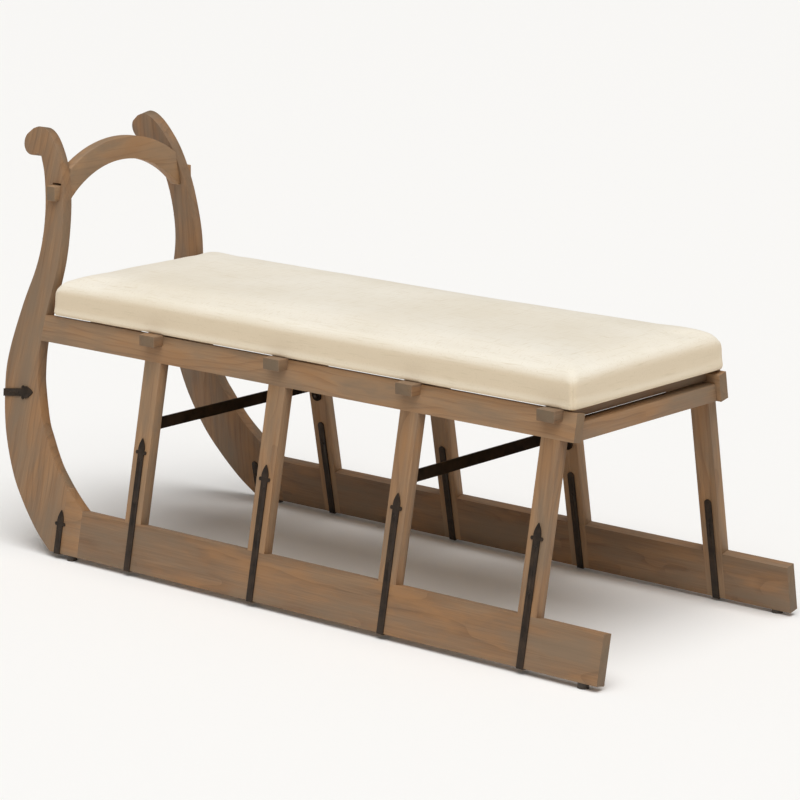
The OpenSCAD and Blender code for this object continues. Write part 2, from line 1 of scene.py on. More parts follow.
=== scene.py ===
"""Sleigh-shaped bench: finishes, cushion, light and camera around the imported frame.

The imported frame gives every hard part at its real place, in metres. This script dresses
those parts, sews the cushion and sets up a plain studio.
"""

import json
import logging
import math
from dataclasses import dataclass, field
from enum import Enum
from typing import Callable, Iterable, Sequence

import bmesh
import bpy
from mathutils import Euler, Matrix, Vector, noise
from mathutils.bvhtree import BVHTree


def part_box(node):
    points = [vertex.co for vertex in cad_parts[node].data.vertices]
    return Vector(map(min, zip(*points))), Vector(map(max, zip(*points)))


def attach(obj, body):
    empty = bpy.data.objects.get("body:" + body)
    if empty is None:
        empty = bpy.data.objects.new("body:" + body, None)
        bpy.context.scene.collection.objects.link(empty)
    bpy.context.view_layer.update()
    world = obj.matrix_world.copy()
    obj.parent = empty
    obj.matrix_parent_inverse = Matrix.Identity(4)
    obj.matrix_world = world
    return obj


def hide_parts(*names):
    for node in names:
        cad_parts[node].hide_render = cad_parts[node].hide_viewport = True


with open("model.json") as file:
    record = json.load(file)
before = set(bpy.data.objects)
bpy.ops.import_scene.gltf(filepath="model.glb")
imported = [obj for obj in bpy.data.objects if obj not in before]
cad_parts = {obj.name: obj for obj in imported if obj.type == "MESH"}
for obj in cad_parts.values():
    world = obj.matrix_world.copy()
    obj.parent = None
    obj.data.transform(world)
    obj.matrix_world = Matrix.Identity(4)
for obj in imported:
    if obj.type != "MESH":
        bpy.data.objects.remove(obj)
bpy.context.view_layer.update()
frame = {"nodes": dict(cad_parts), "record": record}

LOG = logging.getLogger("bench")
MM = 0.001


# ---------------------------------------------------------------- small tools


def linear(hex_colour: str) -> tuple[float, float, float, float]:
    """Turn an sRGB hex colour into a linear RGBA colour.

    Args:
        hex_colour: six hex digits after a hash, such as "#8f7050".

    Returns:
        The linear colour with alpha 1.
    """
    raw = [int(hex_colour[i : i + 2], 16) / 255 for i in (1, 3, 5)]
    low = [c / 12.92 if c <= 0.04045 else ((c + 0.055) / 1.055) ** 2.4 for c in raw]
    return (low[0], low[1], low[2], 1.0)


def deselect() -> None:
    """Leave edit mode and clear the selection."""
    if bpy.context.object and bpy.context.object.mode != "OBJECT":
        bpy.ops.object.mode_set(mode="OBJECT")
    bpy.ops.object.select_all(action="DESELECT")


def activate(obj: bpy.types.Object) -> None:
    """Make one object the only selected and the active one.

    Args:
        obj: the object.
    """
    deselect()
    obj.select_set(True)
    bpy.context.view_layer.objects.active = obj


def place_in_mesh(obj: bpy.types.Object) -> None:
    """Move an object's transform into its mesh, so that the object ends at the origin.

    Args:
        obj: the object.
    """
    activate(obj)
    bpy.ops.object.transform_apply(location=True, rotation=True, scale=True)


def apply_modifier(obj: bpy.types.Object, kind: str, **settings: object) -> None:
    """Add a modifier, set it and apply it.

    Args:
        obj: the object that takes the modifier.
        kind: the modifier's type, such as "REMESH".
        settings: the modifier's properties.
    """
    activate(obj)
    modifier = obj.modifiers.new(kind.lower(), kind)
    for name, value in settings.items():
        setattr(modifier, name, value)
    bpy.ops.object.modifier_apply(modifier=modifier.name)


def pick(bm: bmesh.types.BMesh, kind: str, test: Callable[[object], bool]) -> int:
    """Select the vertices, edges or faces that pass a test, and nothing else.

    Args:
        bm: the edit mesh.
        kind: "verts", "edges" or "faces".
        test: says whether an element is selected.

    Returns:
        How many elements were selected.
    """
    for element in [*bm.verts, *bm.edges, *bm.faces]:
        element.select = False
    chosen = [e for e in getattr(bm, kind) if test(e)]
    for element in chosen:
        element.select_set(True)
    return len(chosen)


def shape(obj: bpy.types.Object, kind: str, test: Callable[[object], bool]) -> int:
    """Enter edit mode on obj and select what passes the test.

    Args:
        obj: the mesh object.
        kind: "verts", "edges" or "faces".
        test: says whether an element is selected.

    Returns:
        How many elements were selected.
    """
    if bpy.context.object is not obj or obj.mode != "EDIT":
        activate(obj)
        bpy.ops.object.mode_set(mode="EDIT")
    bpy.ops.mesh.select_mode(type=kind[:-1].upper())
    bm = bmesh.from_edit_mesh(obj.data)
    count = pick(bm, kind, test)
    bmesh.update_edit_mesh(obj.data)
    return count


# ---------------------------------------------------------------- finishes


class Grain(Enum):
    """Directions in which the wood grain runs. The side frames lean inwards by 11 degrees."""

    ALONG = (1.0, 0.0, 0.0)
    ACROSS = (0.0, 1.0, 0.0)
    UP_LEFT = (0.0, 0.191, 0.982)
    UP_RIGHT = (0.0, -0.191, 0.982)
    HORN_LEFT = (0.10, 0.19, 0.977)
    HORN_RIGHT = (0.10, -0.19, 0.977)


class Graph:
    """A material's node tree with one way to add a node."""

    def __init__(self, name: str) -> None:
        """Start an empty material with an output node."""
        self.material = bpy.data.materials.new(name)
        self.material.use_nodes = True
        self.nodes = self.material.node_tree.nodes
        self.links = self.material.node_tree.links
        self.nodes.clear()
        self.output = self.nodes.new("ShaderNodeOutputMaterial")

    def add(self, kind: str, inputs: dict | None = None, **settings: object) -> bpy.types.Node:
        """Add a node with its settings, socket values and links.

        Args:
            kind: the node's type without its "ShaderNode" prefix.
            inputs: socket name or number to a value, or to an output socket to link.
            settings: the node's properties.

        Returns:
            The new node.
        """
        node = self.nodes.new("ShaderNode" + kind)
        for name, value in settings.items():
            setattr(node, name, value)
        for key, value in (inputs or {}).items():
            if isinstance(value, bpy.types.NodeSocket):
                self.links.new(value, node.inputs[key])
            else:
                node.inputs[key].default_value = value
        return node

    def ramp(
        self, factor: bpy.types.NodeSocket, stops: Sequence[tuple[float, str]]
    ) -> bpy.types.NodeSocket:
        """Colour a factor by a ramp of sRGB hex stops.

        Args:
            factor: the socket that drives the ramp.
            stops: pairs of place and hex colour, in order.

        Returns:
            The ramp's colour socket.
        """
        node = self.add("ValToRGB", {0: factor})
        elements = node.color_ramp.elements
        while len(elements) < len(stops):
            elements.new(0.5)
        for element, (place, colour) in zip(elements, stops):
            element.position = place
            element.color = linear(colour)
        return node.outputs[0]

    def finish(self, shader: bpy.types.Node) -> bpy.types.Material:
        """Link the shader to the output.

        Args:
            shader: the material's last node.

        Returns:
            The finished material.
        """
        self.links.new(shader.outputs[0], self.output.inputs["Surface"])
        return self.material


@dataclass(frozen=True)
class Streaks:
    """One kind of streak: its width, its length in widths, and the detail of its noise."""

    width_mm: float
    length: float
    detail: float


@dataclass(frozen=True)
class WashedPine:
    """Planed pine, stained brown, washed grey and rubbed back.

    The eye sees soft brown streaks, a few thin latewood lines, a chalky grey film in
    some places, warmer patches where the wash is rubbed off, and small dark knots.
    """

    early: str = "#a27f5c"
    middle: str = "#8c6c4e"
    late: str = "#6b5039"
    wash: str = "#7f6c57"
    warm: str = "#a3764a"
    knot: str = "#3f2b1d"
    end_grain: str = "#6a5a45"
    fibres: Streaks = Streaks(1.8, 60.0, 3.0)
    bands: Streaks = Streaks(16.0, 16.0, 2.0)
    patches: Streaks = Streaks(48.0, 3.6, 4.0)
    # How much each pattern darkens the board, from a light base
    base_tone: float = 0.08
    fibre_tone: float = 0.42
    band_tone: float = 0.46
    line_tone: float = 0.26
    # Rings of the trunk: their distance, where the heart lies, and how the boards differ
    ring_mm: float = 13.0
    heart: tuple[float, float] = (0.06, 0.05)
    heart_step: tuple[float, float] = (0.008, 0.01)
    tilt: tuple[float, float] = (0.02, 0.028)
    wander: float = 0.07
    wander_per_m: tuple[float, float, float] = (3.0, 12.0, 12.0)
    # Distance along the pattern between the places where two boards are cut
    board_step: float = 1.37
    knot_every_mm: float = 230.0
    roughness: float = 0.62

    def material(self, grain: Grain, seed: int, shade: float = 0.0) -> bpy.types.Material:
        """Build the finish for one board.

        Args:
            grain: the direction of the board's fibres.
            seed: moves the pattern, so that no two boards look the same.
            shade: darkens the board above 0 and lightens it below.

        Returns:
            The material.
        """
        g = Graph(f"washed_pine_{grain.name.lower()}_{seed}")
        axis = Vector(grain.value).normalized()
        turn = axis.rotation_difference(Vector((1, 0, 0))).to_euler()
        place = g.add("TexCoord").outputs["Object"]
        board = g.add("Mapping", {0: place, "Rotation": turn}).outputs[0]
        fibres = self._streaks(g, board, seed, self.fibres)
        bands = self._streaks(g, board, seed + 0.31, self.bands)
        patch = self._streaks(g, board, seed + 0.57, self.patches)
        lines = self._latewood(g, board, seed, patch)

        tone = self.base_tone + shade
        for pattern, weight in (
            (fibres, self.fibre_tone),
            (bands, self.band_tone),
            (lines, self.line_tone),
        ):
            tone = g.add("Math", {0: pattern, 1: weight, 2: tone}, operation="MULTIPLY_ADD").outputs[0]
        colour = g.ramp(tone, [(0.3, self.early), (0.52, self.middle), (0.84, self.late)])
        warm = g.add("MapRange", {0: patch, 1: 0.5, 2: 0.68, 3: 0.0, 4: 0.75}).outputs[0]
        colour = self._blend(g, warm, colour, self.warm)
        film = g.add("MapRange", {0: patch, 1: 0.52, 2: 0.34, 3: 0.1, 4: 0.75}).outputs[0]
        colour = self._blend(g, film, colour, self.wash)
        colour = self._blend(g, self._knots(g, board, seed), colour, self.knot)
        colour = self._blend(g, self._end_grain(g, axis), colour, self.end_grain)

        rough = g.add("MapRange", {0: fibres, 3: self.roughness - 0.1, 4: self.roughness + 0.14})
        relief = g.add("Math", {0: lines, 1: 0.35, 2: fibres}, operation="MULTIPLY_ADD").outputs[0]
        bump = g.add("Bump", {"Height": relief, "Strength": 0.3, "Distance": 0.4 * MM})
        shader = g.add(
            "BsdfPrincipled",
            {"Base Color": colour, "Roughness": rough.outputs[0], "Normal": bump.outputs[0], "IOR": 1.5},
        )
        return g.finish(shader)

    def _streaks(
        self, g: Graph, board: bpy.types.NodeSocket, seed: float, kind: Streaks
    ) -> bpy.types.NodeSocket:
        """Draw noise that is stretched along the grain.

        Args:
            g: the material's graph.
            board: place on the board, with the grain along X.
            seed: moves the noise along the board.
            kind: the size of the streaks.

        Returns:
            The noise, from 0 to 1 around 0.5.
        """
        across = 1 / (kind.width_mm * MM)
        size = (across / kind.length, across, across)
        start = (self.board_step * seed, 0.0, 0.0)
        run = g.add("Mapping", {0: board, "Location": start, "Scale": size}).outputs[0]
        settings = {"Vector": run, "Scale": 1.0, "Detail": kind.detail, "Roughness": 0.6}
        return g.add("TexNoise", settings).outputs[0]

    def _latewood(
        self, g: Graph, board: bpy.types.NodeSocket, seed: int, patch: bpy.types.NodeSocket
    ) -> bpy.types.NodeSocket:
        """Draw thin latewood lines as the cut through wavy rings around a distant heart.

        Args:
            g: the material's graph.
            board: place on the board, with the grain along X.
            seed: moves and tilts the trunk.
            patch: where the lines fade.

        Returns:
            The strength of the lines.
        """
        tilt = Euler((0.0, self.tilt[0] * ((seed % 3) - 1), self.tilt[1] * ((seed % 5) - 2)))
        beside = self.heart[0] + self.heart_step[0] * (seed % 4)
        below = self.heart[1] - self.heart_step[1] * (seed % 3)
        heart = Vector((self.board_step * seed, beside, below))
        trunk = g.add("Mapping", {0: board, "Location": heart, "Rotation": tilt}).outputs[0]
        drift = g.add("Mapping", {0: trunk, "Scale": self.wander_per_m}).outputs[0]
        wander = g.add("TexNoise", {"Vector": drift, "Scale": 1.0, "Detail": 2.0}).outputs["Color"]
        bend = g.add("VectorMath", {0: wander, 1: (0.5, 0.5, 0.5)}, operation="SUBTRACT").outputs[0]
        bend = g.add("VectorMath", {0: bend, "Scale": self.wander}, operation="SCALE").outputs[0]
        bent = g.add("VectorMath", {0: trunk, 1: bend}, operation="ADD").outputs[0]
        # A wave texture of scale S repeats every pi / (10 S)
        scale = math.pi / 10 / (self.ring_mm * MM)
        settings = {"wave_type": "RINGS", "rings_direction": "X", "wave_profile": "SAW"}
        rings = g.add("TexWave", {"Vector": bent, "Scale": scale}, **settings).outputs["Fac"]
        line = g.add("MapRange", {0: rings, 1: 0.62, 2: 1.0}).outputs[0]
        fade = g.add("MapRange", {0: patch, 1: 0.4, 2: 0.6}).outputs[0]
        return g.add("Math", {0: line, 1: fade}, operation="MULTIPLY").outputs[0]

    def _knots(self, g: Graph, board: bpy.types.NodeSocket, seed: int) -> bpy.types.NodeSocket:
        """Place a few small dark knots.

        Args:
            g: the material's graph.
            board: place on the board, with the grain along X.
            seed: moves the knots along the board.

        Returns:
            The strength of the knots.
        """
        spot = 1000 / self.knot_every_mm
        size = (spot * 0.55, spot * 1.6, spot * 1.6)
        start = (self.board_step * seed, 0.0, 0.0)
        where = g.add("Mapping", {0: board, "Location": start, "Scale": size}).outputs[0]
        knots = g.add("TexVoronoi", {"Vector": where, "Scale": 1.0, "Randomness": 1.0})
        edge = {0: knots.outputs["Distance"], 1: 0.11, 2: 0.03, 3: 0.0, 4: 0.8}
        return g.add("MapRange", edge).outputs[0]

    def _end_grain(self, g: Graph, axis: Vector) -> bpy.types.NodeSocket:
        """Find the faces that cut across the grain.

        Args:
            g: the material's graph.
            axis: the direction of the grain.

        Returns:
            The strength of the end grain.
        """
        normal = g.add("TexCoord").outputs["Normal"]
        facing = g.add("VectorMath", {0: normal, 1: tuple(axis)}, operation="DOT_PRODUCT")
        facing = g.add("Math", {0: facing.outputs["Value"]}, operation="ABSOLUTE").outputs[0]
        return g.add("MapRange", {0: facing, 1: 0.75, 2: 0.97, 3: 0.0, 4: 0.6}).outputs[0]

    @staticmethod
    def _blend(
        g: Graph, factor: bpy.types.NodeSocket, under: bpy.types.NodeSocket, over: str
    ) -> bpy.types.NodeSocket:
        """Lay a plain colour over another by a factor and return the socket."""
        return g.add("Mix", {0: factor, 6: under, 7: linear(over)}, data_type="RGBA").outputs[2]


@dataclass(frozen=True)
class BlackIron:
    """Forged flat iron, blackened and waxed: dull, slightly brown, softly hammered."""

    dark: str = "#2a221b"
    brown: str = "#46382c"
    stains_per_m: float = 45.0
    hammer_mm: float = 9.0
    roughness: float = 0.5

    def material(self) -> bpy.types.Material:
        """Build the finish and return the material."""
        g = Graph("black_iron")
        place = g.add("TexCoord").outputs["Object"]
        size = {"Vector": place, "Scale": self.stains_per_m, "Detail": 5.0, "Roughness": 0.65}
        stain = g.add("TexNoise", size)
        colour = g.ramp(stain.outputs["Fac"], [(0.35, self.dark), (0.68, self.brown)])
        dents = g.add("TexNoise", {"Vector": place, "Scale": 1000 / self.hammer_mm, "Detail": 1.5})
        rough = g.add(
            "MapRange", {0: stain.outputs["Fac"], 3: self.roughness - 0.12, 4: self.roughness + 0.2}
        )
        bump = g.add("Bump", {"Height": dents.outputs["Fac"], "Strength": 0.5, "Distance": 0.8 * MM})
        shader = g.add(
            "BsdfPrincipled",
            {
                "Base Color": colour,
                "Metallic": 0.6,
                "Roughness": rough.outputs[0],
                "Normal": bump.outputs[0],
            },
        )
        return g.finish(shader)


@dataclass(frozen=True)
class CreamLinen:
    """Unbleached linen and cotton cloth: matt, cream, plain weave with thicker slubs.

    The faces that turn sideways get a deeper, warmer colour than the top: painted shade and warm bounce
    light on the side panels.

    The real threads are about 0.6 mm apart. They are drawn 1.8 mm apart, so that the
    weave still shows in a picture of the whole bench.
    """

    light: str = "#f1eadb"
    deep: str = "#e8deca"
    # Painted shade: the deeper, warm colour of the side panels, which face away from the sky
    side: str = "#e2d0b3"
    slub_colour: str = "#cdbb98"
    thread_mm: float = 1.8
    slub_mm: float = 42.0
    slub_stretch: float = 14.0
    cloud_mm: float = 200.0

    def material(self) -> bpy.types.Material:
        """Build the finish and return the material."""
        g = Graph("cream_linen")
        place = g.add("TexCoord").outputs["Object"]
        scale = math.pi / 10 / (self.thread_mm * MM)
        waves = [
            g.add("TexWave", {"Vector": place, "Scale": scale, "Distortion": 0.35}, bands_direction=d)
            for d in ("X", "Y", "Z")
        ]
        weave = waves[0].outputs["Fac"]
        for wave in waves[1:]:
            weave = g.add("Math", {0: weave, 1: wave.outputs["Fac"]}, operation="ADD").outputs[0]
        threads = []
        thin = self.slub_stretch
        for stretch in ((1.0, thin, thin), (thin, 1.0, thin)):
            size = tuple(1000 / self.slub_mm * s for s in stretch)
            run = g.add("Mapping", {0: place, "Scale": size}).outputs[0]
            thread = g.add("TexNoise", {"Vector": run, "Scale": 1.0, "Detail": 3.0})
            threads.append(thread.outputs["Fac"])
        slub = g.add("Math", {0: threads[0], 1: threads[1]}, operation="MAXIMUM").outputs[0]
        size = 1000 / self.cloud_mm
        cloud = g.add("TexNoise", {"Vector": place, "Scale": size, "Detail": 3.0}).outputs["Fac"]
        base = g.ramp(cloud, [(0.3, self.light), (0.75, self.deep)])
        # Painted shade: as the normal turns from up to sideways, the colour moves to the painted side
        # shade colour
        normal = g.add("SeparateXYZ", {0: g.add("TexCoord").outputs["Normal"]}).outputs["Z"]
        painted_side_shade = g.add("MapRange", {0: normal, 1: 0.75, 2: 0.1, 3: 0.0, 4: 1.0}).outputs[0]
        base = g.add("Mix", {0: painted_side_shade, 6: base, 7: linear(self.side)}, data_type="RGBA").outputs[2]
        mark = g.add("MapRange", {0: slub, 1: 0.58, 2: 0.75, 3: 0.0, 4: 0.4}).outputs[0]
        over = {0: mark, 6: base, 7: linear(self.slub_colour)}
        colour = g.add("Mix", over, data_type="RGBA").outputs[2]
        height = g.add("Math", {0: slub, 1: 1.5, 2: weave}, operation="MULTIPLY_ADD").outputs[0]
        bump = g.add("Bump", {"Height": height, "Strength": 0.3, "Distance": 0.3 * MM})
        shader = g.add(
            "BsdfPrincipled",
            {
                "Base Color": colour,
                "Roughness": 0.92,
                "Normal": bump.outputs[0],
                "Sheen Weight": 0.25,
                "Sheen Roughness": 0.5,
            },
        )
        return g.finish(shader)


@dataclass(frozen=True)
class PlainSurface:
    """A small or hidden part's finish: two close colours that a fine noise mixes."""

    name: str
    light: str
    dark: str
    grit_mm: float
    roughness: float
    metallic: float = 0.0

    def material(self) -> bpy.types.Material:
        """Build the finish and return the material."""
        g = Graph(self.name)
        place = g.add("TexCoord").outputs["Object"]
        grit = g.add("TexNoise", {"Vector": place, "Scale": 1000 / self.grit_mm, "Detail": 4.0})
        colour = g.ramp(grit.outputs["Fac"], [(0.35, self.light), (0.65, self.dark)])
        bump = g.add("Bump", {"Height": grit.outputs["Fac"], "Strength": 0.3, "Distance": 0.2 * MM})
        shader = g.add(
            "BsdfPrincipled",
            {
                "Base Color": colour,
                "Metallic": self.metallic,
                "Roughness": self.roughness,
                "Normal": bump.outputs[0],
            },
        )
        return g.finish(shader)


# ---------------------------------------------------------------- hard parts


@dataclass
class HardParts:
    """The CAD nodes, each with the finish and the eased edges of the real piece."""

    pine: WashedPine = field(default_factory=WashedPine)
    iron: BlackIron = field(default_factory=BlackIron)
    ease_mm: float = 1.3
    iron_ease_mm: float = 0.35
    ease_angle: float = 40.0
    shade_step: float = 0.03
    pale_boards: tuple[str, ...] = ("side_rail", "leg_", "arch_rail", "tail_rail")
    pale_shade: float = -0.16

    def grain_of(self, name: str) -> Grain | None:
        """Say how the grain runs in a node.

        Args:
            name: the node's name.

        Returns:
            The direction, or None if the node isn't pine.
        """
        left = "left" in name
        if name.startswith(("runner", "side_rail", "foot_block")):
            return Grain.ALONG
        if name.startswith(("cross_batten", "arch_rail", "tail_rail", "head_rail")):
            return Grain.ACROSS
        if name in ("horn_left", "horn_right"):
            return Grain.HORN_LEFT if left else Grain.HORN_RIGHT
        if name.startswith("leg_") and not name.startswith("leg_strap"):
            return Grain.UP_LEFT if left else Grain.UP_RIGHT
        return None

    def small_finishes(self) -> dict[str, bpy.types.Material]:
        """Build the finishes of all that isn't pine.

        Returns:
            The materials by the slot that they fill.
        """
        return {
            # Zinc-plated steel: plain light grey
            "zinc_screws": PlainSurface("zinc_screws", "#9a9892", "#777570", 2.0, 0.4, 1.0).material(),
            # Polyurethane foam: pale yellow, matt, open pores
            "foam": PlainSurface("foam", "#efe6b8", "#ddd09a", 1.5, 0.95).material(),
            # Raw plywood: light brown with faint blotches
            "plywood": PlainSurface("plywood", "#cfae7c", "#b8945f", 4.0, 0.7).material(),
            # Turned beech dowel: light, close and even
            "dowel_wood": PlainSurface("dowel_wood", "#c9a877", "#b08c5b", 2.0, 0.6).material(),
            # Moulded polyethylene: dark brown with a slight gloss
            "glide_plastic": PlainSurface("glide_plastic", "#43382d", "#2f261e", 1.0, 0.5).material(),
            "black_iron": self.iron.material(),
        }

    def dress(self, nodes: dict[str, bpy.types.Object]) -> None:
        """Give every CAD node its finish.

        The cushion's own solid gets the foam, which doesn't show: the sewn cover replaces it.

        Args:
            nodes: the CAD nodes by name.
        """
        plain = self.small_finishes()
        slots = {s["node"]: s["material_slot"] for s in frame["record"]["subparts"]}
        for seed, name in enumerate(sorted(nodes)):
            grain = self.grain_of(name)
            if grain:
                shade = self.shade_step * ((seed % 5) - 2)
                if name.startswith(self.pale_boards):
                    shade += self.pale_shade
                material = self.pine.material(grain, seed + 1, shade)
                self.ease(nodes[name], self.ease_mm)
            else:
                material = plain.get(slots[name], plain["foam"])
                if slots[name] == "black_iron":
                    self.ease(nodes[name], self.iron_ease_mm)
            nodes[name].data.materials.clear()
            nodes[name].data.materials.append(material)
            LOG.info("%s: %s", name, material.name)

    def ease(self, obj: bpy.types.Object, width_mm: float) -> None:
        """Round the sharp edges of a node a little, with live modifiers.

        Args:
            obj: the CAD node.
            width_mm: the width of the eased edge.
        """
        obj.data.polygons.foreach_set("use_smooth", [True] * len(obj.data.polygons))
        weld = obj.modifiers.new("weld", "WELD")
        weld.merge_threshold = 0.01 * MM
        bevel = obj.modifiers.new("ease", "BEVEL")
        bevel.width = width_mm * MM
        bevel.segments = 2
        bevel.limit_method = "ANGLE"
        bevel.angle_limit = math.radians(self.ease_angle)
        bevel.harden_normals = True


# ---------------------------------------------------------------- cushion


@dataclass
class Cushion:
    """Long box cushion in linen over foam, sewn at its four upright corners."""

    shrink: float = 2.0 * MM
    corner_r: float = 12.0 * MM
    edge_r: float = 27.0 * MM
    edge_steps: int = 6
    crown: Sequence[tuple[float, float]] = ((24.0, 3.5), (34.0, 2.5), (40.0, 1.5))
    pull_in: float = 2.0 * MM
    corner_drop: float = 3.0 * MM
    corner_reach: float = 90.0 * MM
    # Cloth: its mesh, the height of the pinned underside, and how far it may swell
    voxel: float = 8.0 * MM
    pinned_h: float = 5.0 * MM
    sim_frames: int = 20
    pressure: float = 3.0
    swell_cap: float = 4.0 * MM
    # Waves of the taut cover: heights in millimetres, waves per metre along x, y and z
    still_share: float = 0.08
    slow_mm: float = 1.1
    slow_per_m: tuple[float, float, float] = (5.0, 7.0, 9.0)
    fine_mm: float = 0.4
    fine_per_m: tuple[float, float, float] = (17.0, 23.0, 30.0)
    # Gap between the cushion and the battens
    clearance: float = 0.2 * MM
    # Corner seams
    seam_low: float = 1.5 * MM
    seam_h: float = 51.0 * MM
    seam_r: float = 1.1 * MM
    seam_sides: int = 8
    seam_rings: int = 14
    seam_taper: float = 0.35

    def build(self) -> bpy.types.Object:
        """Make the cushion in the space of its CAD solid.

        Returns:
            The cushion, without its seams.
        """
        low, high = (Vector(c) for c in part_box("cushion_cover"))
        pad = self._boxed_form(low, high)
        apply_modifier(pad, "REMESH", mode="VOXEL", voxel_size=self.voxel, use_smooth_shade=True)
        self._inflate(pad, low.z)
        self._relax_cloth(pad, low, high)
        apply_modifier(pad, "SMOOTH", factor=0.5, iterations=2)
        apply_modifier(pad, "SUBSURF", levels=1, render_levels=1)
        self._keep_inside(pad, low, high)
        activate(pad)
        bpy.ops.object.shade_smooth()
        linen = CreamLinen().material()
        pad.data.materials.append(linen)
        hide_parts("cushion_cover")
        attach(pad, "root")
        LOG.info("cushion: %d faces", len(pad.data.polygons))
        self._corner_seams(pad, low, high, linen)
        return pad

    def _boxed_form(self, low: Vector, high: Vector) -> bpy.types.Object:
        """Shape a box into the cushion's cut form.

        Args:
            low: the lowest corner of the space.
            high: the highest corner of the space.

        Returns:
            The form, a little smaller than the space at its sides.
        """
        size = Vector((high.x - low.x, high.y - low.y, 0)) - Vector((2, 2, 0)) * self.shrink
        crown_rise = sum(lift for _, lift in self.crown) * MM
        wall = high.z - low.z - crown_rise - self.edge_r
        centre = (low + high) / 2
        centre.z = low.z + wall / 2
        deselect()
        bpy.ops.mesh.primitive_cube_add(size=1, location=centre, scale=(size.x, size.y, wall))
        pad = bpy.context.object
        pad.name = "cushion"
        place_in_mesh(pad)
        shape(pad, "edges", lambda e: abs(e.verts[0].co.z - e.verts[1].co.z) > wall / 2)
        bpy.ops.mesh.bevel(offset=self.corner_r, segments=5, affect="EDGES")
        shape(pad, "faces", lambda f: f.normal.z > 0.99)
        half = Vector((size.x / 2, size.y / 2))
        inset = 0.0
        for step, lift in self._top_steps():
            bpy.ops.mesh.extrude_region_move(TRANSFORM_OT_translate={"value": (0, 0, lift)})
            shrink = [(h - inset - step) / (h - inset) for h in half]
            bpy.ops.transform.resize(value=(*shrink, 1), center_override=(centre.x, centre.y, 0))
            inset += step
        bpy.ops.object.mode_set(mode="OBJECT")
        return pad

    def _top_steps(self) -> list[tuple[float, float]]:
        """Work out how the top is shaped from the wall to the crown.

        Returns:
            The steps inwards and upwards that round the edge and raise the crown.
        """
        turn = math.pi / 2 / self.edge_steps
        steps = []
        for k in range(self.edge_steps):
            inwards = self.edge_r * (math.cos(k * turn) - math.cos((k + 1) * turn))
            upwards = self.edge_r * (math.sin((k + 1) * turn) - math.sin(k * turn))
            steps.append((inwards, upwards))
        return steps + [(inset * MM, lift * MM) for inset, lift in self.crown]

    def _inflate(self, pad: bpy.types.Object, floor: float) -> None:
        """Swell the cover with a cloth simulation, pinned along its underside.

        Args:
            pad: the remeshed form.
            floor: the level of its underside.
        """
        start = [v.co.copy() for v in pad.data.vertices]
        pins = pad.vertex_groups.new(name="pins")
        pins.add([v.index for v in pad.data.vertices if v.co.z < floor + self.pinned_h], 1.0, "REPLACE")
        cloth = pad.modifiers.new("cloth", "CLOTH")
        cloth.settings.vertex_group_mass = "pins"
        cloth.settings.use_pressure = True
        cloth.settings.uniform_pressure_force = self.pressure
        cloth.settings.effector_weights.gravity = 0.0
        cloth.settings.quality = 5
        scene = bpy.context.scene
        for number in range(1, self.sim_frames + 1):
            scene.frame_set(number)
        depsgraph = bpy.context.evaluated_depsgraph_get()
        swollen = [v.co.copy() for v in pad.evaluated_get(depsgraph).data.vertices]
        pad.modifiers.remove(cloth)
        scene.frame_set(1)
        for vertex, before, after in zip(pad.data.vertices, start, swollen):
            step = after - before
            if step.length > self.swell_cap:
                step *= self.swell_cap / step.length
            vertex.co = before + step
        pad.vertex_groups.clear()

    def _relax_cloth(self, pad: bpy.types.Object, low: Vector, high: Vector) -> None:
        """Give the taut cover slow waves, slightly lower corners and drawn-in sides.

        Args:
            pad: the form.
            low: the lowest corner of the space.
            high: the highest corner of the space.
        """
        centre = (low + high) / 2
        for vertex in pad.data.vertices:
            place = vertex.co
            rise = (place.z - low.z) / (high.z - low.z)
            if rise < self.still_share:
                continue
            slow = self._ripple(place, self.slow_per_m, 3.1)
            fine = self._ripple(place, self.fine_per_m, 7.7)
            place.z += (self.slow_mm * slow + self.fine_mm * fine) * MM * min(rise, 1)
            across = (place.y - centre.y) / (high.y - centre.y)
            along = (place.x - centre.x) / (high.x - centre.x)
            belly = math.sin(math.pi * min(rise, 1))
            from_end = high.x - centre.x - abs(place.x - centre.x)
            from_side = high.y - centre.y - abs(place.y - centre.y)
            near = max(0.0, 1 - Vector((from_end, from_side)).length / self.corner_reach)
            place.z -= self.corner_drop * near**2 * rise
            place.y -= self.pull_in * across * belly * (1 - along**4)
            place.x -= self.pull_in * along * belly * (1 - across**4)

    @staticmethod
    def _ripple(place: Vector, per_m: tuple[float, float, float], shift: float) -> float:
        """Read a smooth noise.

        Args:
            place: where it is read.
            per_m: waves per metre along x, y and z.
            shift: moves the noise, so that two of them differ.

        Returns:
            The noise, from -1 to 1.
        """
        return noise.noise(
            Vector((place.x * per_m[0], place.y * per_m[1], place.z * per_m[2] + shift))
        )

    def _keep_inside(self, pad: bpy.types.Object, low: Vector, high: Vector) -> None:
        """Hold the cushion in its space: flat below, never past its sides.

        Args:
            pad: the finished form.
            low: the lowest corner of the space.
            high: the highest corner of the space.
        """
        for vertex in pad.data.vertices:
            place = vertex.co
            place.x = min(max(place.x, low.x), high.x)
            place.y = min(max(place.y, low.y), high.y)
            place.z = max(place.z, low.z + self.clearance)

